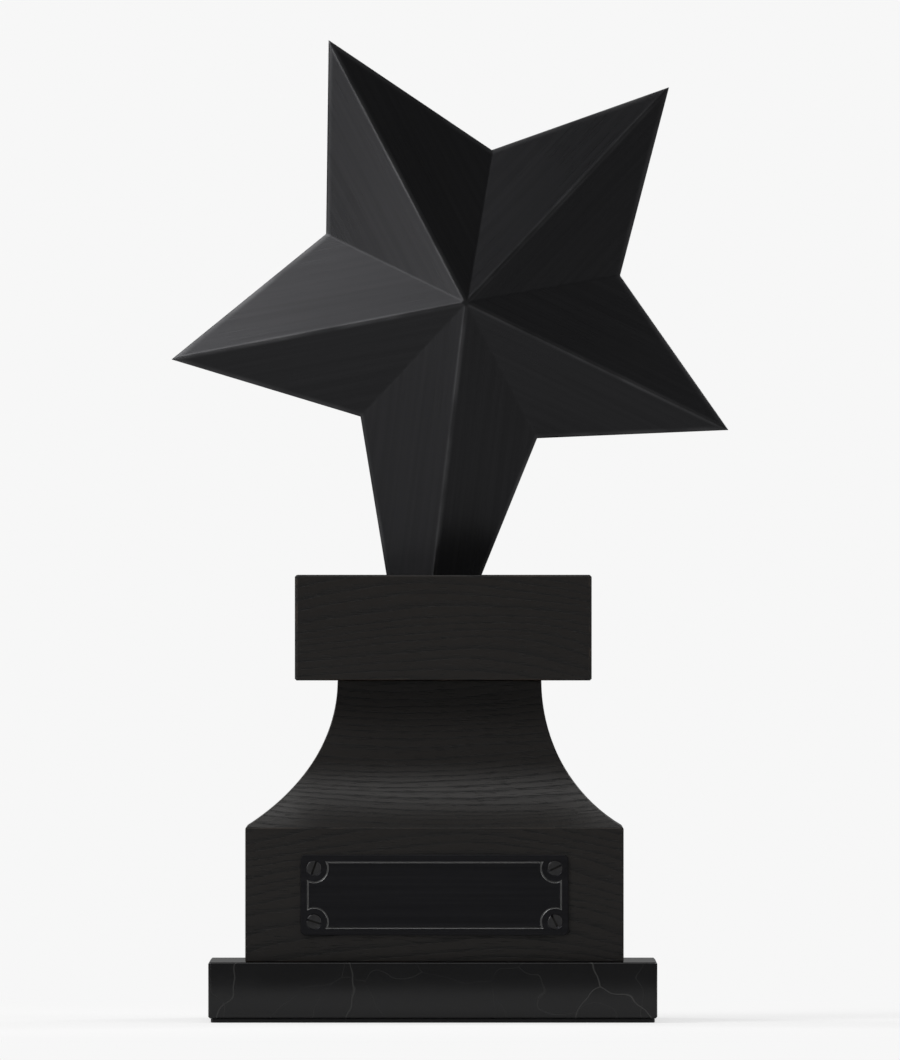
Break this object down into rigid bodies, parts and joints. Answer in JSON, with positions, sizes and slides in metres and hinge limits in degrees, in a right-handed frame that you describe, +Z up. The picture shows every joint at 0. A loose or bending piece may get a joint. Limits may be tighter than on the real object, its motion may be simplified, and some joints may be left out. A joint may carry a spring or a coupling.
{
  "type": "column trophy",
  "caption": "Faceted five-pointed star trophy whose long lower arm stands in a stepped square pedestal with a hollow-sided neck.",
  "frame": {"origin": "centre of the plinth's underside, on the face of the felt that rests on a table", "axes": "+Z up, +X to the viewer's right, -Y towards the viewer, who faces the name plate"},
  "size_m": [0.1671, 0.134, 0.294],
  "materials": {
    "star": "cast, satin-brushed along each facet and finished in black nickel",
    "stone": "polished black marble with faint grey veins",
    "wood": "ebonised open-grain hardwood under satin lacquer",
    "core": "sawn softwood, unfinished, hidden inside",
    "dowel": "plain beech, hidden inside",
    "plate": "black anodised sheet, fine brushed, blank",
    "screw": "black oxide",
    "steel": "bright zinc-plated steel",
    "felt": "black wool felt"
  },
  "bodies": {
    "root": {"felt_pad": "felt", "plinth": "stone", "body_front": "wood", "body_right": "wood", "body_back": "wood", "body_left": "wood", "body_core": "core", "neck_block": "wood", "cap_block": "wood", "plinth_dowel_left": "dowel", "plinth_dowel_right": "dowel", "neck_dowel_left": "dowel", "neck_dowel_right": "dowel", "cap_dowel_left": "dowel", "cap_dowel_right": "dowel", "name_plate": "plate", "plate_screw_upper_left": "screw", "plate_screw_upper_right": "screw", "plate_screw_lower_left": "screw", "plate_screw_lower_right": "screw", "penny_washer": "steel", "spring_washer": "steel", "base_nut": "steel", "tie_rod": "steel", "coupling_nut": "steel", "star_front": "star", "star_back": "star", "star_screw_upper_left": "screw", "star_screw_upper_right": "screw", "star_screw_right": "screw", "star_screw_lower": "screw", "star_screw_left": "screw"}
  },
  "joints": []
}
